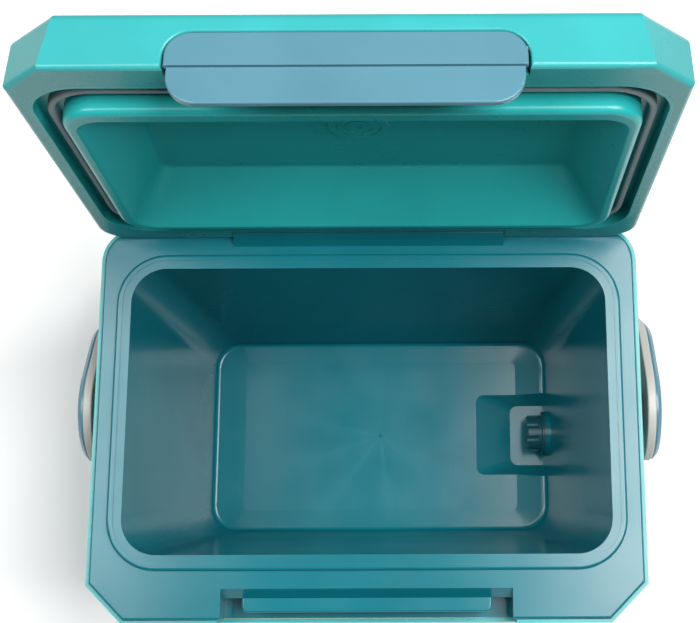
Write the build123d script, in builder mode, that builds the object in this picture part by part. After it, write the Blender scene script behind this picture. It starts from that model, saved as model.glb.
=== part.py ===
"""Hard cooler chest with a hinged lid, snap latch, swing-up carry handle and threaded drain.

Millimetres. Origin at the centre of the footprint on the ground, +Z up, front faces -Y.
The lid group is modelled closed and then turned back about the hinge axis to stand open.
"""
from build123d import *
from math import cos, radians, sin, sqrt
import os

os.makedirs("parts", exist_ok=True)

# ---- clearances ----
SNUG = 0.02
RUN = 0.05
GAP = 0.3

# ---- body, driving dimensions ----
COLLAR_W = 450.0
COLLAR_D = 322.0
COLLAR_TOP = 320.0
COLLAR_T = 12.0
COLLAR_EDGE_R = 2.0
CORNER_CUT = 28.6
REAR_R = 26.0
HALF_W = COLLAR_W / 2
FRONT_Y = -COLLAR_D / 2
REAR_Y = COLLAR_D / 2

WALL = 3.0
LIP = 3.5
SHELL_TOP = COLLAR_TOP - 4.5
SHELL_BASE = 6.0
BAND_LOW = COLLAR_TOP - 36.0
BAND_STEP = 4.0
BASE_INSET = 12.5
BASE_EDGE_R = 5.0

# ---- food space ----
MOUTH_W = 400.0
MOUTH_FRONT = -110.1
MOUTH_REAR = 126.8
MOUTH_R = 29.0
FLOOR_Z = COLLAR_TOP - 279.0
FLOOR_W = 341.0
FLOOR_FRONT = -85.2
FLOOR_REAR = 106.0
FLOOR_R = 25.0
FLOOR_EDGE_R = 4.0
DISH = 1.8
DISH_SIDE = 30.0
DISH_END = 20.0
DISH_R = 5.0
DISH_LEDGE = FLOOR_EDGE_R + 1.0
GATE_R = 1.8
PAD_W = 12.5
PAD_H = 4.0
PAD_EDGE_R = 2.5
BEAD_IN = 6.0
BEAD_W = 1.2
BEAD_H = 0.7

# ---- sump and drain ----
SUMP_DEPTH = 14.0
SUMP_LEFT = 94.0
SUMP_RAMP = 41.0
SUMP_FRONT = -31.5
SUMP_REAR = 53.8
SUMP_SLOPE = 12.0
SUMP_R = 8.0
DRAIN_Y = 11.1
DRAIN_Z = FLOOR_Z + 8.5
DRAIN_R = 11.0
DRAIN_BORE = 8.0
SEAT_X = 168.8
SEAT_R = 23.0
SEAT_T = 6.0
BOSS_T = 7.0
NUT_R = 18.5
NUT_L = 15.0
WASHER_R = 22.0
WASHER_T = 3.5
DRAIN_FACE_X = 219.0
SPOUT_END = 236.0
FLANGE_R = 20.0
GASKET_T = 2.0
NUT_CUT = 1.5
NUT_NOTCHES = 8
NOTCH_R = 4.0
CAP_R = 16.0
CAP_WALL = 4.0
CAP_EDGE_R = 2.0
SEAL_T = 3.0
RIB_COUNT = 16
RIB_H = 1.4
RIB_W = 2.2

# ---- latch recess in the collar ----
RECESS_W = 236.0
RECESS_TOP_D = 24.3
RECESS_LOW_D = 16.7
RECESS_SLOPE_H = 10.0
RECESS_FLOOR = COLLAR_TOP - 30.0
CATCH_W = 202.0
CATCH_FRONT = FRONT_Y + 5.6
CATCH_TOP = COLLAR_TOP - 4.0
CATCH_H = 12.0
CATCH_END_R = 5.0
CATCH_EDGE_R = 1.5
SCREW_Z = CATCH_TOP - 8.0
SCREW_PITCH = 80.0
SCREW_R = 1.5
SCREW_HEAD_R = 2.8
SCREW_HEAD_T = 1.5
SCREW_L = 13.0
CATCH_SEAT_D = RECESS_LOW_D + FRONT_Y - CATCH_FRONT - 1.0

# ---- feet, one at each corner and one in the middle ----
FOOT_PITCH_X = 340.0
FOOT_PITCH_Y = 220.0
FOOT_W = 58.0
FOOT_D = 34.0
FOOT_R = 9.0
FOOT_CUT = 1.2

# ---- hinge ----
HINGE_Y = 157.6
HINGE_Z = COLLAR_TOP + 4.0
HINGE_PIN_R = 2.0
BARREL_R = 6.5
BARREL_W = 230.0
FAIRING_Y = HINGE_Y - 11.0
FAIRING_TOUCH_Y = BARREL_R * sin(radians(56))
FAIRING_TOUCH_Z = BARREL_R * cos(radians(56))
PIN_SEAT = 22.0
PIN_END_X = 139.0
LID_OPEN = 96.1
HINGE = Axis((0, HINGE_Y, HINGE_Z), (1, 0, 0))

# ---- lid, measured closed ----
RIM_Z = COLLAR_TOP + 0.5
LID_W = 451.0
LID_FRONT = -157.7
LID_T = 41.0
LID_CUT = 29.0
LID_TOP_CUT = 37.5
LID_TOP_R = 7.0
LID_TOP_WALL = 4.5
LID_BACK = HINGE_Z - RIM_Z
LID_REAR = HINGE_Y + LID_BACK
GROOVE_W = 429.0
GROOVE_FRONT = HINGE_Y - 286.8
GROOVE_REAR = HINGE_Y - 16.5
GROOVE_DEPTH = 10.5
GROOVE_R = 38.0
SHEET = 2.5
PLUG_W = 396.0
PLUG_FRONT = HINGE_Y - 263.4
PLUG_REAR = HINGE_Y - 35.0
PLUG_DROP = 7.0
PLUG_R = 27.0
PLUG_EDGE_R = 5.0
TRAY_W = 377.2
TRAY_FRONT = HINGE_Y - 248.6
TRAY_REAR = HINGE_Y - 43.8
TRAY_R = 18.0
TRAY_EDGE_R = 3.0
CEIL_W = 316.0
CEIL_FRONT = HINGE_Y - 237.0
CEIL_REAR = HINGE_Y - 96.0
CEIL_R = 12.0
CEIL_N = 25.2
CEIL_EDGE_R = 8.0
NOTCH_V = 12.0
NOTCH_N = 12.5

LID_HALF = LID_W / 2
GASKET_IN = 3.0
GASKET_OUT = 8.0
GASKET_N = PAD_H - 0.4
GASKET_EDGE_R = 1.8
FILL_Y = HINGE_Y - 172.2
FILL_R = 23.0
FILL_NECK_R = 12.0
FILL_T = 1.2
PIN_BLOCK_X = 147.0
PIN_BLOCK_H = 10.0

# ---- latch lever, measured closed and engaged ----
LEVER_W = 230.0
LEVER_T = 4.0
LEVER_FACE = FRONT_Y + 1.0
LEVER_UP = 24.5
LEVER_DOWN = 27.5
LEVER_R = 17.0
LEVER_LOW_W = 226.0
LEVER_LOW_R = 20.0
LEVER_GAP = 1.6
LEVER_EDGE_R = 1.2
LEVER_GROOVE = 3.8
LEVER_GROOVE_D = 2.8
LATCH_WELL = 14.5
WELL_EDGE_R = 2.0
PIVOT_N = 15.0
LATCH_Y = LEVER_FACE + 5.9
LATCH_Z = RIM_Z + PIVOT_N
LATCH_DEEP = LATCH_Y - LEVER_FACE - LEVER_T + 1.0
LATCH_PIN_R = 1.5
LATCH_PIN_X = 119.0
LATCH_AJAR = 4.5
HOOK_W = 150.0
HOOK_REACH = 7.4
HOOK_TOP = CATCH_TOP - CATCH_H - 0.4 - RIM_Z
HOOK_H = 4.0
KNUCKLE_R = 3.4
KNUCKLE_X = 100.0
KNUCKLE_L = 12.0

# ---- carry handle ----
PIVOT_Y = 17.0
PIVOT_Z = COLLAR_TOP - 78.0
ARM_X = 238.0
ARM_T = 7.5
COVER_T = 5.0
COVER_INSET = 1.2
COVER_CUT = 3.2
ARM_L = 226.0
ARM_DROP = 45.0
HUB_R = 47.0
SHOULDER_R = 54.0
SHOULDER_D = 38.0
TAPER_D = 118.0
ARM_HALF = 18.0
BOSS_X = 226.0
BOSS_R = 22.0
BOSS_L = 7.0
BOSS_INNER_X = HALF_W - 10.0
ANCHOR_X = HALF_W - 15.0
PIVOT_SCREW_R = 4.0
HEAD_R = 11.0
HEAD_T = 2.5
SCREW_POCKET = 3.0
ARM_EDGE_R = 1.5
GRIP_EDGE_R = 4.0
SPIGOT_R = 8.0
SPIGOT_HEAD_R = 13.5
GRIP_R = 14.0
ROD_R = 6.0


def chest_outline(inset, front=FRONT_Y, rear=REAR_Y, half=HALF_W, cut=CORNER_CUT, corner=REAR_R):
    """Rectangle with cut front corners and round rear corners, shrunk evenly by inset."""
    low, high = front + inset, rear - inset
    with Locations((0, (low + high) / 2)):
        Rectangle(2 * (half - inset), high - low)
    chamfer(vertices().group_by(Axis.Y)[0], cut - (2 - sqrt(2)) * inset)
    fillet(vertices().group_by(Axis.Y)[-1], corner - inset)


def rounded(width, front, rear, radius):
    """Rounded rectangle centred on X between two Y limits."""
    with Locations((0, (front + rear) / 2)):
        RectangleRounded(width, rear - front, radius)


def shell_loft(inset, base, top):
    """The body's drafted outer form, shrunk by inset, between two heights."""
    draft = (BASE_INSET - BAND_STEP) / (BAND_LOW - BAND_STEP - SHELL_BASE)
    step_z = BAND_LOW - BAND_STEP
    levels = [(base, BASE_INSET - draft * (base - SHELL_BASE)), (step_z, BAND_STEP)]
    levels += [(BAND_LOW, 0), (top, 0)]
    sections = []
    for z, tuck in levels:
        with BuildSketch(Plane.XY.offset(z)) as section:
            chest_outline(inset + tuck - LIP)
        sections.append(section.sketch)
    loft(sections, ruled=True)


def tub_loft(grow, top, bottom):
    """The tapering food space, widened by grow on every side."""
    sections = []
    for z, width, front, rear, radius in (
        (bottom, FLOOR_W, FLOOR_FRONT, FLOOR_REAR, FLOOR_R),
        (top, MOUTH_W, MOUTH_FRONT, MOUTH_REAR, MOUTH_R),
    ):
        with BuildSketch(Plane.XY.offset(z)) as section:
            rounded(width + 2 * grow, front - grow, rear + grow, radius + grow)
        sections.append(section.sketch)
    loft(sections, ruled=True)


def dish_loft():
    """Shallow dish in the floor, sloping in from a narrow ledge along the walls."""
    sections = []
    for z, side, end, radius in (
        (FLOOR_Z - DISH, DISH_SIDE, DISH_END, DISH_R),
        (FLOOR_Z, DISH_LEDGE, DISH_LEDGE, FLOOR_R - DISH_LEDGE),
        (FLOOR_Z + DISH, DISH_LEDGE, DISH_LEDGE, FLOOR_R - DISH_LEDGE),
    ):
        with BuildSketch(Plane.XY.offset(z)) as section:
            rounded(FLOOR_W - 2 * side, FLOOR_FRONT + end, FLOOR_REAR - end, radius)
        sections.append(section.sketch)
    loft(sections, ruled=True)


def sump_loft(grow, top):
    """Pocket with a long ramp on its left and steep slopes front and rear."""
    wall_slope = (MOUTH_W - FLOOR_W) / 2 / (COLLAR_TOP - FLOOR_Z)
    right = FLOOR_W / 2
    bottom = top - SUMP_DEPTH
    mouth = top + FLOOR_EDGE_R + 1
    sections = []
    for z, left, squeeze, end in (
        (bottom, SUMP_LEFT + SUMP_RAMP, SUMP_SLOPE, right - wall_slope * SUMP_DEPTH),
        (top, SUMP_LEFT, 0, right),
        (mouth, SUMP_LEFT, 0, right + wall_slope * (mouth - top)),
    ):
        low, high = SUMP_FRONT + squeeze - grow, SUMP_REAR - squeeze + grow
        with BuildSketch(Plane.XY.offset(z)) as section:
            with Locations(((left + end) / 2, (low + high) / 2)):
                Rectangle(end - left + 2 * grow, high - low)
            fillet(vertices().group_by(Axis.X)[0], SUMP_R + grow)
        sections.append(section.sketch)
    loft(sections, ruled=True)


def drill_x(x_from, x_to, y, z, radius, mode=Mode.SUBTRACT):
    """Cylinder along X between two X positions."""
    with BuildSketch(Plane(origin=(x_from, y, z), x_dir=(0, 1, 0), z_dir=(1, 0, 0))) as disc:
        Circle(radius)
    extrude(disc.sketch, amount=x_to - x_from, mode=mode)


def drill_screws(y, depth, radius, mode=Mode.SUBTRACT):
    """Row of cylinders along Y for the catch screws."""
    with BuildSketch(Plane(origin=(0, y, SCREW_Z), x_dir=(1, 0, 0), z_dir=(0, 1, 0))) as discs:
        with GridLocations(SCREW_PITCH, 1, 3, 1):
            Circle(radius)
    extrude(discs.sketch, amount=depth, mode=mode)


def save(piece, name):
    """Label a finished piece and write its STEP file."""
    piece.label = name
    export_step(piece, f"parts/{name}.step")


def stand_open(piece):
    """Turn a piece of the closed lid back to the open position."""
    return piece.rotate(HINGE, -LID_OPEN)


# ---- shared forms of the body ----
with BuildPart() as shell_inside:
    shell_loft(WALL, SHELL_BASE + WALL, SHELL_TOP)

with BuildPart() as tub_outside:
    tub_loft(WALL, COLLAR_TOP, FLOOR_Z - DISH - WALL)
    sump_loft(WALL, FLOOR_Z - WALL)

with BuildPart() as tub_inside:
    tub_loft(0, COLLAR_TOP + PAD_H, FLOOR_Z)
    fillet(tub_inside.faces().sort_by(Axis.Z)[0].edges(), FLOOR_EDGE_R)
    dish_loft()
    sump_loft(0, FLOOR_Z)

POCKET_REAR = FRONT_Y + RECESS_LOW_D + WALL
with BuildPart() as latch_pocket:
    with BuildSketch(Plane.XY.offset(RECESS_FLOOR - WALL)):
        with Locations((0, (FRONT_Y + POCKET_REAR) / 2)):
            Rectangle(RECESS_W + 2 * WALL, POCKET_REAR - FRONT_Y)
    extrude(amount=COLLAR_TOP - COLLAR_T - RECESS_FLOOR + WALL)

# ---- body pieces ----
with BuildPart() as outer_shell:
    shell_loft(0, SHELL_BASE, SHELL_TOP)
    fillet(outer_shell.faces().sort_by(Axis.Z)[0].edges(), BASE_EDGE_R)
    add(shell_inside.part, mode=Mode.SUBTRACT)
    # flat bosses that carry the handle pivots and the drain
    for side in (-1, 1):
        drill_x(side * BOSS_INNER_X, side * BOSS_X, PIVOT_Y, PIVOT_Z, BOSS_R + WALL, Mode.ADD)
        drill_x(side * BOSS_INNER_X, side * BOSS_X, PIVOT_Y, PIVOT_Z, PIVOT_SCREW_R + 2 * RUN)
    drill_x(DRAIN_FACE_X - BOSS_T, DRAIN_FACE_X, DRAIN_Y, DRAIN_Z, WASHER_R + WALL - GAP, Mode.ADD)
    drill_x(DRAIN_FACE_X - BOSS_T - WALL, DRAIN_FACE_X, DRAIN_Y, DRAIN_Z, DRAIN_R + RUN)
    # front wall lowered where the latch hangs
    with Locations((0, FRONT_Y, (RECESS_FLOOR + COLLAR_TOP) / 2)):
        Box(RECESS_W + 2 * WALL, 4 * WALL, COLLAR_TOP - RECESS_FLOOR, mode=Mode.SUBTRACT)
save(outer_shell.part, "outer_shell")

with BuildPart() as inner_liner:
    with BuildSketch(Plane.XY.offset(COLLAR_TOP - COLLAR_T)):
        chest_outline(0)
    extrude(amount=COLLAR_T)
    rim = inner_liner.faces().sort_by(Axis.Z)[-1].edges()
    fillet(rim, COLLAR_EDGE_R)
    with BuildSketch(Plane.XY.offset(COLLAR_TOP)) as sealing_pad:
        rounded(MOUTH_W + 2 * PAD_W, MOUTH_FRONT - PAD_W, MOUTH_REAR + PAD_W, MOUTH_R + PAD_W)
    extrude(amount=PAD_H)
    fillet(inner_liner.faces().sort_by(Axis.Z)[-1].edges(), PAD_EDGE_R)
    add(tub_outside.part)
    add(latch_pocket.part)
    add(tub_inside.part, mode=Mode.SUBTRACT)
    # fine bead that runs round the sealing pad
    with BuildSketch(Plane.XY.offset(COLLAR_TOP + PAD_H)):
        out, inn = BEAD_IN + BEAD_W, BEAD_IN
        rounded(MOUTH_W + 2 * out, MOUTH_FRONT - out, MOUTH_REAR + out, MOUTH_R + out)
        with Locations((0, (MOUTH_FRONT + MOUTH_REAR) / 2)):
            RectangleRounded(
                MOUTH_W + 2 * inn,
                MOUTH_REAR - MOUTH_FRONT + 2 * inn,
                MOUTH_R + inn,
                mode=Mode.SUBTRACT,
            )
    extrude(amount=-BEAD_H, mode=Mode.SUBTRACT)
    # latch recess with a sloped back wall
    with BuildSketch(Plane.YZ.offset(-RECESS_W / 2)):
        with BuildLine():
            Polyline(
                (FRONT_Y - WALL, COLLAR_TOP),
                (FRONT_Y + RECESS_TOP_D, COLLAR_TOP),
                (FRONT_Y + RECESS_LOW_D, COLLAR_TOP - RECESS_SLOPE_H),
                (FRONT_Y + RECESS_LOW_D, RECESS_FLOOR),
                (FRONT_Y - WALL, RECESS_FLOOR),
                close=True,
            )
        make_face()
    extrude(amount=RECESS_W, mode=Mode.SUBTRACT)
    # hinge barrel along the rear edge, faired into the collar
    with BuildSketch(Plane.YZ.offset(-BARREL_W / 2)):
        with Locations((HINGE_Y, HINGE_Z)):
            Circle(BARREL_R)
        with BuildLine():
            Polyline(
                (FAIRING_Y, COLLAR_TOP - COLLAR_T / 2),
                (FAIRING_Y, COLLAR_TOP),
                (HINGE_Y - FAIRING_TOUCH_Y, HINGE_Z + FAIRING_TOUCH_Z),
                (HINGE_Y + BARREL_R, HINGE_Z),
                (REAR_Y, SHELL_TOP + 1),
                (REAR_Y, COLLAR_TOP - COLLAR_T / 2),
                close=True,
            )
        make_face()
    extrude(amount=BARREL_W)
    for side in (-1, 1):
        drill_x(side * (BARREL_W / 2 - PIN_SEAT), side * BARREL_W / 2, HINGE_Y, HINGE_Z, HINGE_PIN_R)
    # flat seat for the drain washer
    drill_x(SEAT_X, SEAT_X + SEAT_T, DRAIN_Y, DRAIN_Z, SEAT_R, Mode.ADD)
    drill_x(SEAT_X, SEAT_X + 2 * SEAT_T, DRAIN_Y, DRAIN_Z, DRAIN_R + RUN)
    drill_screws(FRONT_Y + RECESS_LOW_D, SCREW_L - CATCH_SEAT_D, SCREW_R + RUN)
    # moulding gate mark
    with Locations((0, (FLOOR_FRONT + FLOOR_REAR) / 2, FLOOR_Z - DISH)):
        Cone(GATE_R, GATE_R / 2, GATE_R / 2, align=(Align.CENTER, Align.CENTER, Align.MIN))
save(inner_liner.part, "inner_liner")

with BuildPart() as body_foam:
    shell_loft(WALL, SHELL_BASE + WALL, COLLAR_TOP - COLLAR_T)
    add(tub_outside.part, mode=Mode.SUBTRACT)
    add(latch_pocket.part, mode=Mode.SUBTRACT)
    with Locations((0, FRONT_Y, (RECESS_FLOOR + COLLAR_TOP) / 2)):
        Box(RECESS_W + 2 * WALL, 4 * WALL, COLLAR_TOP - RECESS_FLOOR + 2 * WALL, mode=Mode.SUBTRACT)
    # wells for the handle anchors, and the drain's passage
    for side in (-1, 1):
        drill_x(side * (ANCHOR_X - GAP), side * HALF_W, PIVOT_Y, PIVOT_Z, BOSS_R + WALL + GAP)
    drill_x(SEAT_X, DRAIN_FACE_X, DRAIN_Y, DRAIN_Z, DRAIN_R + GAP)
    drill_x(SEAT_X, SEAT_X + SEAT_T + GAP, DRAIN_Y, DRAIN_Z, SEAT_R + GAP)
    drill_x(DRAIN_FACE_X - BOSS_T - GAP, DRAIN_FACE_X, DRAIN_Y, DRAIN_Z, WASHER_R + WALL)
save(body_foam.part, "body_foam")

with BuildPart() as latch_catch:
    with BuildSketch(Plane.XY.offset(CATCH_TOP - CATCH_H)):
        with Locations((0, (CATCH_FRONT + FRONT_Y + RECESS_LOW_D) / 2)):
            Rectangle(CATCH_W, FRONT_Y + RECESS_LOW_D - CATCH_FRONT)
        fillet(vertices().group_by(Axis.Y)[0], CATCH_END_R)
    extrude(amount=CATCH_H)
    fillet(latch_catch.faces().sort_by(Axis.Z)[-1].edges().group_by(Axis.Y)[0], CATCH_EDGE_R)
    drill_screws(CATCH_FRONT, RECESS_LOW_D, SCREW_R + RUN)
    drill_screws(CATCH_FRONT, SCREW_HEAD_T + GAP, SCREW_HEAD_R + RUN)
save(latch_catch.part, "latch_catch")

with BuildPart() as catch_screws:
    drill_screws(CATCH_FRONT + GAP, SCREW_HEAD_T, SCREW_HEAD_R, Mode.ADD)
    drill_screws(CATCH_FRONT + GAP, SCREW_L, SCREW_R, Mode.ADD)
save(catch_screws.part, "catch_screws")

with BuildPart() as foot_pads:
    with BuildSketch(Plane.XY):
        with GridLocations(FOOT_PITCH_X, FOOT_PITCH_Y, 2, 2):
            RectangleRounded(FOOT_W, FOOT_D, FOOT_R)
        RectangleRounded(FOOT_W, FOOT_D, FOOT_R)
    extrude(amount=SHELL_BASE)
    chamfer(foot_pads.faces().group_by(Axis.Z)[0].edges(), FOOT_CUT)
save(foot_pads.part, "foot_pads")

with BuildPart() as hinge_pins:
    for side in (-1, 1):
        start = side * (BARREL_W / 2 - PIN_SEAT + 1)
        drill_x(start, side * PIN_END_X, HINGE_Y, HINGE_Z, HINGE_PIN_R - SNUG, Mode.ADD)
save(hinge_pins.part, "hinge_pins")

# ---- drain ----
NUT_X = SEAT_X - WASHER_T - NUT_L
with BuildPart() as drain_body:
    drill_x(NUT_X + 1, SPOUT_END, DRAIN_Y, DRAIN_Z, DRAIN_R, Mode.ADD)
    flange_x = DRAIN_FACE_X + GASKET_T
    drill_x(flange_x, flange_x + WASHER_T, DRAIN_Y, DRAIN_Z, FLANGE_R, Mode.ADD)
    drill_x(NUT_X, SPOUT_END, DRAIN_Y, DRAIN_Z, DRAIN_BORE)
save(drain_body.part, "drain_body")

with BuildPart() as drain_nut:
    drill_x(NUT_X, NUT_X + NUT_L, DRAIN_Y, DRAIN_Z, NUT_R, Mode.ADD)
    chamfer(drain_nut.faces().sort_by(Axis.X)[0].edges(), NUT_CUT)
    drill_x(NUT_X, NUT_X + NUT_L, DRAIN_Y, DRAIN_Z, DRAIN_R + RUN)
    # finger notches round the nut
    with BuildSketch(Plane(origin=(NUT_X, DRAIN_Y, DRAIN_Z), x_dir=(0, 1, 0), z_dir=(1, 0, 0))):
        with PolarLocations(NUT_R + NUT_CUT, NUT_NOTCHES, start_angle=180 / NUT_NOTCHES):
            Circle(NOTCH_R)
    extrude(amount=NUT_L - WASHER_T, mode=Mode.SUBTRACT)
save(drain_nut.part, "drain_nut")

with BuildPart() as drain_washer:
    drill_x(SEAT_X - WASHER_T, SEAT_X, DRAIN_Y, DRAIN_Z, WASHER_R, Mode.ADD)
    fillet(drain_washer.faces().sort_by(Axis.X)[0].edges(), 1)
    drill_x(SEAT_X - WASHER_T, SEAT_X, DRAIN_Y, DRAIN_Z, DRAIN_R + RUN)
save(drain_washer.part, "drain_washer")

with BuildPart() as drain_gasket:
    drill_x(DRAIN_FACE_X, flange_x, DRAIN_Y, DRAIN_Z, FLANGE_R - GAP, Mode.ADD)
    drill_x(DRAIN_FACE_X, flange_x, DRAIN_Y, DRAIN_Z, DRAIN_R + RUN)
save(drain_gasket.part, "drain_gasket")

CAP_START = flange_x + WASHER_T + GAP
CAP_END = SPOUT_END + SEAL_T + CAP_WALL
with BuildPart() as drain_cap:
    drill_x(CAP_START, CAP_END, DRAIN_Y, DRAIN_Z, CAP_R, Mode.ADD)
    fillet(drain_cap.faces().sort_by(Axis.X)[-1].edges(), CAP_EDGE_R)
    with BuildSketch(Plane(origin=(CAP_START, DRAIN_Y, DRAIN_Z), x_dir=(0, 1, 0), z_dir=(1, 0, 0))):
        with PolarLocations(CAP_R - RIB_H / 2, RIB_COUNT):
            RectangleRounded(2 * RIB_H, RIB_W, RIB_W / 2 - RUN)
    extrude(amount=CAP_END - CAP_START - CAP_EDGE_R)
    drill_x(CAP_START, SPOUT_END + SEAL_T, DRAIN_Y, DRAIN_Z, DRAIN_R + GAP)
save(drain_cap.part, "drain_cap")

with BuildPart() as drain_cap_seal:
    drill_x(SPOUT_END + RUN, SPOUT_END + SEAL_T - RUN, DRAIN_Y, DRAIN_Z, DRAIN_R, Mode.ADD)
save(drain_cap_seal.part, "drain_cap_seal")

# ---- lid pieces, built closed ----


def lid_loft(inset, low, high):
    """The lid's outer form, shrunk by inset, between two heights above the rim."""
    spread = (LID_TOP_CUT - LID_CUT) / LID_T
    sections = []
    for n in (low, high):
        with BuildSketch(Plane.XY.offset(RIM_Z + n)) as section:
            chest_outline(inset, LID_FRONT, LID_REAR, LID_HALF, LID_CUT + spread * n)
        sections.append(section.sketch)
    loft(sections, ruled=True)


def tray_loft(grow, low, high):
    """The sloping hollow under the lid, widened by grow."""
    sections = []
    for n, width, front, rear, radius in (
        (low, TRAY_W, TRAY_FRONT, TRAY_REAR, TRAY_R),
        (high, CEIL_W, CEIL_FRONT, CEIL_REAR, CEIL_R),
    ):
        with BuildSketch(Plane.XY.offset(RIM_Z + n)) as section:
            rounded(width + 2 * grow, front - grow, rear + grow, radius + grow)
        sections.append(section.sketch)
    loft(sections, ruled=True)


def lid_slab(width, front, rear, radius, low, high, mode=Mode.ADD):
    """Rounded slab between two heights above the rim."""
    with BuildSketch(Plane.XY.offset(RIM_Z + low)) as slab:
        rounded(width, front, rear, radius)
    extrude(slab.sketch, amount=high - low, mode=mode)


with BuildPart() as tray_outside:
    tray_loft(SHEET, -PLUG_DROP, CEIL_N + SHEET)

with BuildPart() as tray_inside:
    tray_loft(0, -PLUG_DROP, CEIL_N)
    fillet(tray_inside.faces().sort_by(Axis.Z)[-1].edges(), CEIL_EDGE_R)

with BuildPart() as channel_block:
    lid_slab(
        GROOVE_W + 2 * SHEET,
        GROOVE_FRONT - SHEET,
        GROOVE_REAR + SHEET,
        GROOVE_R + SHEET,
        0,
        GROOVE_DEPTH + SHEET,
    )

with BuildPart() as plug_hollow:
    inset = SHEET + RUN
    lid_slab(
        PLUG_W - 2 * inset,
        PLUG_FRONT + inset,
        PLUG_REAR - inset,
        PLUG_R - inset,
        SHEET - PLUG_DROP,
        GROOVE_DEPTH + SHEET,
    )
    add(tray_outside.part, mode=Mode.SUBTRACT)

with BuildPart() as lid_liner:
    lid_slab(PLUG_W, PLUG_FRONT, PLUG_REAR, PLUG_R, -PLUG_DROP, GROOVE_DEPTH + SHEET)
    fillet(lid_liner.faces().sort_by(Axis.Z)[0].edges(), PLUG_EDGE_R)
    with BuildSketch(Plane.XY.offset(RIM_Z)):
        rounded(
            GROOVE_W + 2 * SHEET, GROOVE_FRONT - SHEET, GROOVE_REAR + SHEET, GROOVE_R + SHEET
        )
        with Locations((0, (GROOVE_FRONT + GROOVE_REAR) / 2)):
            RectangleRounded(
                GROOVE_W, GROOVE_REAR - GROOVE_FRONT, GROOVE_R, mode=Mode.SUBTRACT
            )
    extrude(amount=GROOVE_DEPTH)
    lid_slab(
        GROOVE_W + 2 * SHEET,
        GROOVE_FRONT - SHEET,
        GROOVE_REAR + SHEET,
        GROOVE_R + SHEET,
        GROOVE_DEPTH,
        GROOVE_DEPTH + SHEET,
    )
    add(tray_outside.part)
    add(plug_hollow.part, mode=Mode.SUBTRACT)
    add(tray_inside.part, mode=Mode.SUBTRACT)
    tray_mouth = lid_liner.faces().sort_by(Axis.Z)[0].inner_wires()[0]
    fillet(tray_mouth.edges(), TRAY_EDGE_R)
    with Locations((0, FILL_Y, RIM_Z + CEIL_N)):
        Cylinder(FILL_NECK_R + RUN, 4 * SHEET, mode=Mode.SUBTRACT)
save(stand_open(lid_liner.part), "lid_liner")

WELL_PLANE = Plane(origin=(0, LID_FRONT, RIM_Z), x_dir=(1, 0, 0), z_dir=(0, -1, 0))
with BuildPart() as lid_cavity:
    lid_loft(WALL, WALL, LID_T - LID_TOP_WALL)
    # solid walls round the hinge notch, the hinge pins and the latch well
    lining_d = LID_REAR - GROOVE_REAR - SHEET
    with Locations((0, LID_REAR - lining_d / 2, RIM_Z + (NOTCH_N + WALL) / 2)):
        Box(BARREL_W + 2 * WALL + 1, lining_d, NOTCH_N + WALL, mode=Mode.SUBTRACT)
    with Locations((0, HINGE_Y - SHEET, RIM_Z + PIN_BLOCK_H / 2)):
        Box(2 * PIN_BLOCK_X, NOTCH_V, PIN_BLOCK_H, mode=Mode.SUBTRACT)
    well_rear = FRONT_Y + LATCH_WELL + WALL
    well_top = LEVER_UP + LEVER_GAP + WALL
    with Locations((0, (LID_FRONT + well_rear) / 2, RIM_Z + well_top / 2)):
        Box(LEVER_W + 2 * LEVER_GAP + 2 * WALL, well_rear - LID_FRONT, well_top, mode=Mode.SUBTRACT)

with BuildPart() as latch_well:
    # a slab in front of the lid, so that the well's mouth can be flared round
    with BuildSketch(WELL_PLANE):
        Rectangle(LEVER_W + 2 * LEVER_UP, 4 * LEVER_UP)
    extrude(amount=WALL)
    with BuildSketch(WELL_PLANE):
        Rectangle(LEVER_W + 2 * LEVER_GAP, 2 * (LEVER_UP + LEVER_GAP))
        fillet(vertices().group_by(Axis.Y)[-1], LEVER_R + LEVER_GAP)
    extrude(amount=-(FRONT_Y + LATCH_WELL - LID_FRONT))
    mouth_edges = latch_well.edges().filter_by(lambda e: abs(e.center().Y - LID_FRONT) < RUN)
    fillet(mouth_edges.filter_by(lambda e: abs(e.center().X) < LEVER_W / 2 + WALL), WELL_EDGE_R)

with BuildPart() as lid_outer:
    lid_loft(0, 0, LID_T)
    fillet(lid_outer.faces().sort_by(Axis.Z)[-1].edges(), LID_TOP_R)
    fillet(lid_outer.faces().sort_by(Axis.Z)[0].edges(), LID_BACK - 2 * RUN)
    add(lid_cavity.part, mode=Mode.SUBTRACT)
    lid_slab(
        GROOVE_W + 2 * SHEET,
        GROOVE_FRONT - SHEET,
        GROOVE_REAR + SHEET,
        GROOVE_R + SHEET,
        0,
        WALL,
        Mode.SUBTRACT,
    )
    with Locations((0, HINGE_Y, RIM_Z)):
        Box(BARREL_W + 1, 2 * NOTCH_V, 2 * NOTCH_N, mode=Mode.SUBTRACT)
    for side in (-1, 1):
        drill_x(side * BARREL_W / 2, side * (PIN_END_X + 1), HINGE_Y, HINGE_Z, HINGE_PIN_R + RUN)
        knuckle_end = side * (KNUCKLE_X + KNUCKLE_L)
        drill_x(knuckle_end, side * (LATCH_PIN_X + GAP), LATCH_Y, LATCH_Z, LATCH_PIN_R + RUN)
    add(latch_well.part, mode=Mode.SUBTRACT)
save(stand_open(lid_outer.part), "lid_outer")

with BuildPart() as lid_foam:
    add(lid_cavity.part)
    add(channel_block.part, mode=Mode.SUBTRACT)
    add(tray_outside.part, mode=Mode.SUBTRACT)
    add(plug_hollow.part)
    with Locations((0, FILL_Y, RIM_Z + CEIL_N)):
        Cylinder(FILL_NECK_R + GAP, 4 * SHEET, mode=Mode.SUBTRACT)
save(stand_open(lid_foam.part), "lid_foam")

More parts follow.
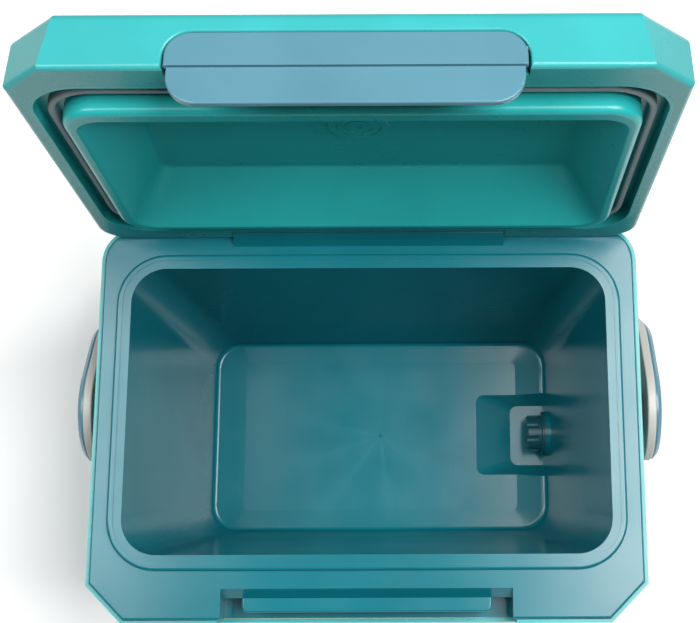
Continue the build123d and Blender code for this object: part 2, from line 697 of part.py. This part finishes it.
with BuildPart() as lid_gasket:
    for grow, mode in ((GASKET_OUT, Mode.ADD), (GASKET_IN, Mode.SUBTRACT)):
        lid_slab(
            MOUTH_W + 2 * grow,
            MOUTH_FRONT - grow,
            MOUTH_REAR + grow,
            MOUTH_R + grow,
            GASKET_N,
            GROOVE_DEPTH,
            mode,
        )
    fillet(lid_gasket.faces().sort_by(Axis.Z)[0].edges(), GASKET_EDGE_R)
save(stand_open(lid_gasket.part), "lid_gasket")

CEILING = RIM_Z + CEIL_N
with BuildPart() as lid_fill_plug:
    with BuildSketch(Plane.XY.offset(CEILING)):
        Circle(FILL_R)
    extrude(amount=-FILL_T)
    chamfer(lid_fill_plug.faces().sort_by(Axis.Z)[0].edges(), FILL_T / 2)
    with BuildSketch(Plane.XY.offset(CEILING)):
        Circle(FILL_NECK_R)
    extrude(amount=SHEET)
    # two shallow ring grooves and a dimple
    with BuildSketch(Plane.XY.offset(CEILING - FILL_T)):
        for radius in (FILL_R - 6, FILL_R - 12):
            Circle(radius)
            Circle(radius - 1.5, mode=Mode.SUBTRACT)
        Circle(3)
    extrude(amount=FILL_T / 2, mode=Mode.SUBTRACT)
    fill_plug = lid_fill_plug.part.moved(Location((0, FILL_Y, 0)))
save(stand_open(fill_plug), "lid_fill_plug")

# ---- latch, built engaged, then swung ajar on the open lid ----
LATCH_AXIS = Axis((0, LATCH_Y, LATCH_Z), (1, 0, 0))
FACE_PLANE = Plane(origin=(0, LEVER_FACE, RIM_Z), x_dir=(1, 0, 0), z_dir=(0, -1, 0))

with BuildPart() as latch_lever:
    with BuildSketch(FACE_PLANE):
        with Locations((0, LEVER_UP / 2)):
            Rectangle(LEVER_W, LEVER_UP)
        fillet(vertices().group_by(Axis.Y)[-1], LEVER_R)
    extrude(amount=-LEVER_T)
    with BuildSketch(FACE_PLANE):
        with Locations((0, -LEVER_DOWN / 2)):
            Rectangle(LEVER_LOW_W, LEVER_DOWN)
        fillet(vertices().group_by(Axis.Y)[0], LEVER_LOW_R)
    extrude(amount=-LEVER_T)
    fillet(latch_lever.faces().sort_by(Axis.Y)[0].edges(), LEVER_EDGE_R)
    with BuildSketch(FACE_PLANE):
        with Locations((0, -LEVER_GROOVE / 2)):
            Rectangle(LEVER_W, LEVER_GROOVE)
    extrude(amount=-LEVER_GROOVE_D, mode=Mode.SUBTRACT)
    # hook that snaps under the catch
    hook_d = FRONT_Y + HOOK_REACH - LEVER_FACE - LEVER_T
    hook_y = LEVER_FACE + LEVER_T + hook_d / 2
    with Locations((0, hook_y, RIM_Z + HOOK_TOP - HOOK_H / 2)):
        Box(HOOK_W, hook_d, HOOK_H)
    for side in (-1, 1):
        near, far = side * KNUCKLE_X, side * (KNUCKLE_X + KNUCKLE_L)
        with BuildSketch(Plane(origin=(near, LATCH_Y, LATCH_Z), x_dir=(0, 1, 0), z_dir=(1, 0, 0))):
            Circle(KNUCKLE_R)
            with Locations((-LATCH_DEEP / 2, 0)):
                Rectangle(LATCH_DEEP, 2 * KNUCKLE_R)
        extrude(amount=far - near)
        drill_x(near, far, LATCH_Y, LATCH_Z, LATCH_PIN_R + RUN)
save(stand_open(latch_lever.part.rotate(LATCH_AXIS, -LATCH_AJAR)), "latch_lever")

with BuildPart() as latch_pins:
    for side in (-1, 1):
        start = side * (KNUCKLE_X + 1)
        drill_x(start, side * LATCH_PIN_X, LATCH_Y, LATCH_Z, LATCH_PIN_R - SNUG, Mode.ADD)
save(stand_open(latch_pins.part), "latch_pins")

# ---- carry handle, built folded back ----
ARM_DIR = (0, cos(radians(ARM_DROP)), -sin(radians(ARM_DROP)))


def arm_plane(x):
    """Plane of the right arm: local X runs down the arm from the pivot."""
    return Plane(origin=(x, PIVOT_Y, PIVOT_Z), x_dir=ARM_DIR, z_dir=(1, 0, 0))


def arm_outline(shrink):
    """Hub, swelling shoulder and taper, then a straight arm with a round end."""
    with BuildSketch() as hub:
        for along, radius in ((0, HUB_R), (SHOULDER_D, SHOULDER_R), (TAPER_D, ARM_HALF)):
            with Locations((along, 0)):
                Circle(radius - shrink)
        make_hull(hub.edges())
        with Locations(((TAPER_D + ARM_L) / 2, 0)):
            Rectangle(ARM_L - TAPER_D, 2 * (ARM_HALF - shrink))
        with Locations((ARM_L, 0)):
            Circle(ARM_HALF - shrink)
    return hub.sketch


GRIP_Y = PIVOT_Y + ARM_L * cos(radians(ARM_DROP))
GRIP_Z = PIVOT_Z - ARM_L * sin(radians(ARM_DROP))

with BuildPart() as bail_arm_right:
    extrude(arm_plane(ARM_X) * arm_outline(0), amount=ARM_T)
    fillet(bail_arm_right.faces().filter_by(Axis.X).edges(), ARM_EDGE_R)
    drill_x(ARM_X, ARM_X + ARM_T, PIVOT_Y, PIVOT_Z, SPIGOT_R + RUN)
    drill_x(ARM_X, ARM_X + ARM_T, GRIP_Y, GRIP_Z, ROD_R + SNUG)

with BuildPart() as arm_cover_right:
    extrude(arm_plane(ARM_X + ARM_T) * arm_outline(COVER_INSET), amount=COVER_T)
    chamfer(arm_cover_right.faces().sort_by(Axis.X)[-1].edges(), COVER_CUT)
    drill_x(ARM_X + ARM_T, ARM_X + ARM_T + SCREW_POCKET, PIVOT_Y, PIVOT_Z, SPIGOT_HEAD_R)

for right_piece, name in ((bail_arm_right, "bail_arm"), (arm_cover_right, "arm_cover")):
    save(right_piece.part, f"{name}_right")
    save(mirror(right_piece.part, Plane.YZ), f"{name}_left")

with BuildPart() as grip_rod:
    drill_x(GAP - ARM_X - ARM_T, ARM_X + ARM_T - GAP, GRIP_Y, GRIP_Z, ROD_R, Mode.ADD)
save(grip_rod.part, "grip_rod")

with BuildPart() as grip_sleeve:
    drill_x(-ARM_X + 1, ARM_X - 1, GRIP_Y, GRIP_Z, GRIP_R, Mode.ADD)
    fillet(grip_sleeve.faces().filter_by(Axis.X).edges(), GRIP_EDGE_R)
    drill_x(-ARM_X, ARM_X, GRIP_Y, GRIP_Z, ROD_R + SNUG)
save(grip_sleeve.part, "grip_sleeve")

HEAD_X = ARM_X + ARM_T + 2 * RUN
with BuildPart() as pivot_bushes:
    for side in (-1, 1):
        drill_x(side * BOSS_X, side * (BOSS_X + BOSS_L), PIVOT_Y, PIVOT_Z, BOSS_R, Mode.ADD)
        drill_x(side * BOSS_X, side * (ARM_X - GAP), PIVOT_Y, PIVOT_Z, SPIGOT_HEAD_R, Mode.ADD)
        drill_x(side * BOSS_X, side * HEAD_X, PIVOT_Y, PIVOT_Z, SPIGOT_R, Mode.ADD)
        drill_x(side * BOSS_X, side * HEAD_X, PIVOT_Y, PIVOT_Z, PIVOT_SCREW_R + RUN)
save(pivot_bushes.part, "pivot_bushes")

with BuildPart() as pivot_screws:
    for side in (-1, 1):
        drill_x(side * ANCHOR_X, side * HEAD_X, PIVOT_Y, PIVOT_Z, PIVOT_SCREW_R, Mode.ADD)
        drill_x(side * HEAD_X, side * (HEAD_X + HEAD_T), PIVOT_Y, PIVOT_Z, HEAD_R, Mode.ADD)
save(pivot_screws.part, "pivot_screws")

with BuildPart() as pivot_anchors:
    for side in (-1, 1):
        drill_x(side * ANCHOR_X, side * BOSS_INNER_X, PIVOT_Y, PIVOT_Z, BOSS_R, Mode.ADD)
        drill_x(side * ANCHOR_X, side * BOSS_INNER_X, PIVOT_Y, PIVOT_Z, PIVOT_SCREW_R + SNUG)
save(pivot_anchors.part, "pivot_anchors")
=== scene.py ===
"""Looks of the cooler chest: moulded plastic materials, soft studio light and camera."""
from math import cos, radians, sin

import bpy
from mathutils import Matrix, Vector

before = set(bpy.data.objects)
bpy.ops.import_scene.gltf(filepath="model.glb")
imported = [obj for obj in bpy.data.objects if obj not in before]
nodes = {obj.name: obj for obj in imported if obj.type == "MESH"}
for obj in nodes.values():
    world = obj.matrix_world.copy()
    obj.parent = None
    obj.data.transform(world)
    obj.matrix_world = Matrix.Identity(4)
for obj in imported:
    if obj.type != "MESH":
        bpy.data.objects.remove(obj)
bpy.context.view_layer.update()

MM = 0.001

# ---- surface finish, shared by all the mouldings ----
CLOUD_SCALE, SMUDGE_SCALE, GRAIN_SCALE, SINK_SCALE, WEAR_SCALE = 7.0, 22.0, 1400.0, 9.0, 60.0
GRAIN_DEPTH, SINK_DEPTH = 0.02 * MM, 0.3 * MM
SINK_STRENGTH = 0.15
WEAR_RADIUS = 0.8 * MM
WEAR_BEND_START, WEAR_BEND_FULL = 0.97, 0.80
PLASTIC_IOR, PLASTIC_SPECULAR = 1.49, 0.38

# ---- the moulding gate in the middle of the chest's floor, and the painted highlight rays round it ----
GATE_CENTRE = (0, 10.4 * MM)
GATE_FLOOR = 39.8 * MM
HIGHLIGHT_RAY_SCALE = 2.0
HIGHLIGHT_RAY_START, HIGHLIGHT_RAY_FULL = 0.48, 0.72
HIGHLIGHT_RAY_NEAR, HIGHLIGHT_RAY_FAR = 10 * MM, 130 * MM


# ---- materials ----
def new_material(name):
    """Empty node material and its principled shader."""
    material = bpy.data.materials.new(name)
    material.use_nodes = True
    return material, material.node_tree.nodes["Principled BSDF"]


def add_node(material, kind, **values):
    """Shader node with its input sockets set by name."""
    node = material.node_tree.nodes.new(kind)
    for key, value in values.items():
        node.inputs[key.replace("_", " ")].default_value = value
    return node


def link(material, source, target):
    material.node_tree.links.new(source, target)


def object_noise(material, scale, detail=3.0, roughness=0.5):
    """Noise in object space, so that it doesn't depend on texture coordinates."""
    place = material.node_tree.nodes.new("ShaderNodeTexCoord")
    noise = add_node(material, "ShaderNodeTexNoise", Scale=scale, Detail=detail, Roughness=roughness)
    link(material, place.outputs["Object"], noise.inputs["Vector"])
    return noise.outputs["Fac"]


def ramp(material, fac, stops):
    """Colour ramp of (position, colour) stops."""
    node = material.node_tree.nodes.new("ShaderNodeValToRGB")
    link(material, fac, node.inputs["Fac"])
    while len(node.color_ramp.elements) < len(stops):
        node.color_ramp.elements.new(0.5)
    for element, (place, colour) in zip(node.color_ramp.elements, stops):
        element.position = place
        element.color = (*colour, 1)
    return node.outputs["Color"]


def scaled(material, fac, low, high):
    """Remaps a 0 to 1 value to a range."""
    node = add_node(material, "ShaderNodeMapRange", To_Min=low, To_Max=high)
    link(material, fac, node.inputs["Value"])
    return node.outputs["Result"]


def multiplied(material, first, second):
    """Product of two values."""
    product = material.node_tree.nodes.new("ShaderNodeMath")
    product.operation = "MULTIPLY"
    link(material, first, product.inputs[0])
    link(material, second, product.inputs[1])
    return product.outputs[0]


def edge_wear(material, radius):
    """0 on flats and up to 0.7 where the surface bends sharply, uneven along the edges."""
    bevel = add_node(material, "ShaderNodeBevel", Radius=radius)
    bevel.samples = 8
    geometry = material.node_tree.nodes.new("ShaderNodeNewGeometry")
    dot = material.node_tree.nodes.new("ShaderNodeVectorMath")
    dot.operation = "DOT_PRODUCT"
    link(material, bevel.outputs["Normal"], dot.inputs[0])
    link(material, geometry.outputs["Normal"], dot.inputs[1])
    bend = add_node(material, "ShaderNodeMapRange", From_Min=WEAR_BEND_START, From_Max=WEAR_BEND_FULL)
    link(material, dot.outputs["Value"], bend.inputs["Value"])
    patches = scaled(material, object_noise(material, WEAR_SCALE), 0.2, 0.7)
    return multiplied(material, bend.outputs["Result"], patches)


def mixed(material, fac, low, high):
    """Colour mixed between two colours."""
    node = material.node_tree.nodes.new("ShaderNodeMix")
    node.data_type = "RGBA"
    for socket, value in ((node.inputs[6], low), (node.inputs[7], high)):
        if isinstance(value, tuple):
            socket.default_value = (*value, 1)
        else:
            link(material, value, socket)
    link(material, fac, node.inputs[0])
    return node.outputs[2]


def vector_math(material, operation, vector, constant=None):
    """Vector node fed by a vector and, where it takes one, a constant."""
    node = material.node_tree.nodes.new("ShaderNodeVectorMath")
    node.operation = operation
    link(material, vector, node.inputs[0])
    if constant is not None:
        node.inputs[1].default_value = constant
    return node


def painted_gate_highlight(material):
    """Painted highlight: faint light rays on the floor round the moulding gate, 0 to 1, gone on the
    walls and far out.
    """
    place = material.node_tree.nodes.new("ShaderNodeTexCoord")
    split = material.node_tree.nodes.new("ShaderNodeSeparateXYZ")
    link(material, place.outputs["Object"], split.inputs[0])
    offset = vector_math(material, "SUBTRACT", place.outputs["Object"], (*GATE_CENTRE, 0))
    flat = vector_math(material, "MULTIPLY", offset.outputs[0], (1, 1, 0))
    unit = vector_math(material, "NORMALIZE", flat.outputs[0])
    distance = vector_math(material, "LENGTH", flat.outputs[0])
    rays = add_node(material, "ShaderNodeTexNoise", Scale=HIGHLIGHT_RAY_SCALE, Detail=2.0, Roughness=0.5)
    link(material, unit.outputs[0], rays.inputs["Vector"])
    value = None
    for source, start, end, low, high in (
        (rays.outputs["Fac"], HIGHLIGHT_RAY_START, HIGHLIGHT_RAY_FULL, 0.0, 1.0),
        (split.outputs["Z"], GATE_FLOOR, GATE_FLOOR + 1 * MM, 1.0, 0.0),
        (distance.outputs["Value"], HIGHLIGHT_RAY_NEAR, HIGHLIGHT_RAY_FAR, 1.0, 0.0),
    ):
        fade = add_node(
            material, "ShaderNodeMapRange", From_Min=start, From_Max=end, To_Min=low, To_Max=high
        )
        link(material, source, fade.inputs["Value"])
        result = fade.outputs["Result"]
        value = result if value is None else multiplied(material, value, result)
    return value


def moulded(name, colour, roughness, grain=0.12, variation=0.10, gate=False):
    """Injection-moulded plastic: cloudy tone, fine grain, shallow sinks, slightly worn edges and,
    with gate, painted highlight rays round the moulding gate.
    """
    material, shader = new_material(name)
    dark = tuple(c * (1 - variation) for c in colour)
    light = tuple(min(1, c * (1 + variation)) for c in colour)
    cloud = object_noise(material, CLOUD_SCALE, 4.0)
    tone = ramp(material, cloud, [(0.30, dark), (0.70, light)])
    wear = edge_wear(material, WEAR_RADIUS)
    worn = tuple(min(1, c * 1.3 + 0.02) for c in colour)
    # painted highlight: paler light rays on the floor round the moulding gate
    if gate:
        painted_highlight_colour = tuple(c * 1.16 + 0.006 for c in colour)
        tone = mixed(material, painted_gate_highlight(material), tone, painted_highlight_colour)
    link(material, mixed(material, wear, tone, worn), shader.inputs["Base Color"])
    smudge = object_noise(material, SMUDGE_SCALE, 5.0)
    gloss = scaled(material, smudge, roughness - 0.06, roughness + 0.08)
    link(material, gloss, shader.inputs["Roughness"])
    fine = object_noise(material, GRAIN_SCALE, 2.0)
    sink = object_noise(material, SINK_SCALE, 0.0)
    broad = add_node(material, "ShaderNodeBump", Strength=SINK_STRENGTH, Distance=SINK_DEPTH)
    link(material, sink, broad.inputs["Height"])
    small = add_node(material, "ShaderNodeBump", Strength=grain, Distance=GRAIN_DEPTH)
    link(material, fine, small.inputs["Height"])
    link(material, broad.outputs["Normal"], small.inputs["Normal"])
    link(material, small.outputs["Normal"], shader.inputs["Normal"])
    shader.inputs["IOR"].default_value = PLASTIC_IOR
    shader.inputs["Specular IOR Level"].default_value = PLASTIC_SPECULAR
    return material


def srgb(r, g, b):
    """Linear colour from 0 to 255 display values."""
    return tuple(((c / 255 + 0.055) / 1.055) ** 2.4 if c > 10 else c / 3294 for c in (r, g, b))


# linear colours
TURQUOISE = (0.03, 0.28, 0.285)
BLUE_TEAL = (0.003, 0.122, 0.155)
LID_TEAL = (0.016, 0.32, 0.32)
LATCH_TEAL = (0.07, 0.175, 0.225)
NUT_TEAL = (0.008, 0.07, 0.09)
PAPER = (0.93, 0.93, 0.93)
OFF_WHITE = srgb(176, 173, 168)

MATERIALS = {
    "turquoise": moulded("turquoise_plastic", TURQUOISE, 0.26),
    # the liner floor gets the painted highlight rays round the moulding gate
    "blue_teal": moulded("blue_teal_plastic", BLUE_TEAL, 0.21, gate=True),
    "lid_teal": moulded("lid_teal_plastic", LID_TEAL, 0.28),
    "latch_teal": moulded("latch_plastic", LATCH_TEAL, 0.24),
    "off_white": moulded("off_white_plastic", OFF_WHITE, 0.38, variation=0.03),
    "grip_grey": moulded("grip_plastic", srgb(206, 205, 200), 0.5, grain=0.4, variation=0.04),
    "seal": moulded("seal_rubber", srgb(128, 140, 144), 0.62, grain=0.3),
    "nut_teal": moulded("nut_plastic", NUT_TEAL, 0.3),
    "foot_rubber": moulded("foot_rubber", srgb(44, 48, 50), 0.7, grain=0.5),
    "foam": moulded("foam", srgb(228, 218, 178), 0.9, grain=0.8),
    "steel": moulded("steel", srgb(176, 178, 180), 0.3),
}

FINISH = {
    "outer_shell": "turquoise",
    "lid_outer": "turquoise",
    "inner_liner": "blue_teal",
    "latch_catch": "blue_teal",
    "lid_liner": "lid_teal",
    "lid_fill_plug": "lid_teal",
    "latch_lever": "latch_teal",
    "arm_cover_left": "latch_teal",
    "arm_cover_right": "latch_teal",
    "bail_arm_left": "off_white",
    "bail_arm_right": "off_white",
    "pivot_bushes": "off_white",
    "grip_sleeve": "grip_grey",
    "lid_gasket": "seal",
    "drain_gasket": "seal",
    "drain_cap_seal": "seal",
    "drain_nut": "nut_teal",
    "drain_washer": "nut_teal",
    "drain_body": "nut_teal",
    "drain_cap": "nut_teal",
    "foot_pads": "foot_rubber",
    "body_foam": "foam",
    "lid_foam": "foam",
}

for name, node in nodes.items():
    node.data.materials.clear()
    node.data.materials.append(MATERIALS[FINISH.get(name, "steel")])


# ---- stage ----
FLOOR_SIZE = 12.0
AMBIENT = 0.05


def paper(name, colour):
    """Matt backdrop paper."""
    material, shader = new_material(name)
    shader.inputs["Base Color"].default_value = (*colour, 1)
    shader.inputs["Roughness"].default_value = 0.9
    return material


def plane(name, size, place, material):
    """Square sheet lying flat."""
    half = size / 2
    mesh = bpy.data.meshes.new(name)
    corners = [(-half, -half, 0), (half, -half, 0), (half, half, 0), (-half, half, 0)]
    mesh.from_pydata(corners, [], [(0, 1, 2, 3)])
    thing = bpy.data.objects.new(name, mesh)
    thing.location = place
    mesh.materials.append(material)
    bpy.context.scene.collection.objects.link(thing)
    return thing


plane("floor", FLOOR_SIZE, (0, 0, 0), paper("floor_paper", PAPER))


def softbox(name, place, target, size, power):
    """Rectangular area light aimed at a point."""
    light = bpy.data.lights.new(name, "AREA")
    light.shape = "RECTANGLE"
    light.size, light.size_y = size
    light.energy = power
    lamp = bpy.data.objects.new(name, light)
    lamp.location = place
    lamp.rotation_euler = (Vector(target) - Vector(place)).to_track_quat("-Z", "Y").to_euler()
    bpy.context.scene.collection.objects.link(lamp)


softbox("right_softbox", (0.97, 0.15, 2.3), (0.35, 0.1, 0.2), (1.25, 1.3), 82)
softbox("left_softbox", (-1.2, 0.2, 2.3), (-0.4, 0.1, 0.2), (0.9, 1.3), 38)

bpy.context.scene.view_settings.view_transform = "Standard"
world = bpy.data.worlds.new("studio")
world.use_nodes = True
world.node_tree.nodes["Background"].inputs["Color"].default_value = (1, 1, 1, 1)
world.node_tree.nodes["Background"].inputs["Strength"].default_value = AMBIENT
bpy.context.scene.world = world

# ---- camera, at the photograph's viewing angle ----
CAMERA_PLACE = (0.0529, -0.1127, 1.4273)
PITCH, YAW, ROLL = radians(76.892), radians(-0.200), radians(-0.4375)
FOCAL_MM = 68.43
SHIFT_X, SHIFT_Y = -0.11387, -0.09119

forward = Vector((sin(YAW) * cos(PITCH), cos(YAW) * cos(PITCH), -sin(PITCH)))
level_right = Vector((cos(YAW), -sin(YAW), 0))
level_up = level_right.cross(forward)
right = cos(ROLL) * level_right + sin(ROLL) * level_up
up = cos(ROLL) * level_up - sin(ROLL) * level_right
turn = Matrix((right, up, -forward)).transposed()
lens = bpy.data.cameras.new("camera")
lens.sensor_width = 36
lens.sensor_fit = "HORIZONTAL"
lens.lens = FOCAL_MM
lens.shift_x, lens.shift_y = SHIFT_X, SHIFT_Y
camera = bpy.data.objects.new("camera", lens)
camera.matrix_world = Matrix.Translation(CAMERA_PLACE) @ turn.to_4x4()
bpy.context.scene.collection.objects.link(camera)
bpy.context.scene.camera = camera
